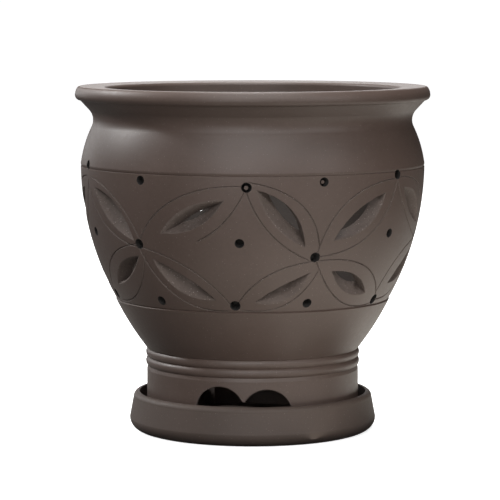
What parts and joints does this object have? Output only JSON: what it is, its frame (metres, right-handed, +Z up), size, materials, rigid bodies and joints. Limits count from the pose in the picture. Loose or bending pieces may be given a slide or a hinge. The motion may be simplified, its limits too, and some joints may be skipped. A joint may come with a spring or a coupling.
{
  "type": "plant pot with saucer",
  "caption": "Round unglazed clay plant pot with a flared lip, a carved and pierced band of petals, and an arched foot, standing in its own saucer.",
  "frame": {"origin": "centre of the saucer's underside, on the surface that the planter stands on", "axes": "+Z up along the axis the pot was turned on, -Y towards the pictured front of the carving"},
  "size_m": [0.224, 0.224, 0.218],
  "materials": {
    "pot_clay": "unglazed, fine grained, satin where it was turned and rough where it was cut",
    "saucer_clay": "unglazed, fine grained, satin with faint turning marks"
  },
  "bodies": {
    "saucer": {"saucer": "saucer_clay"},
    "pot": {"pot": "pot_clay"}
  },
  "joints": [
    {"name": "pot_lift", "type": "slide", "parent": "saucer", "child": "pot", "axis": [0, 0, 1], "range_m": [0, 0.06]}
  ]
}
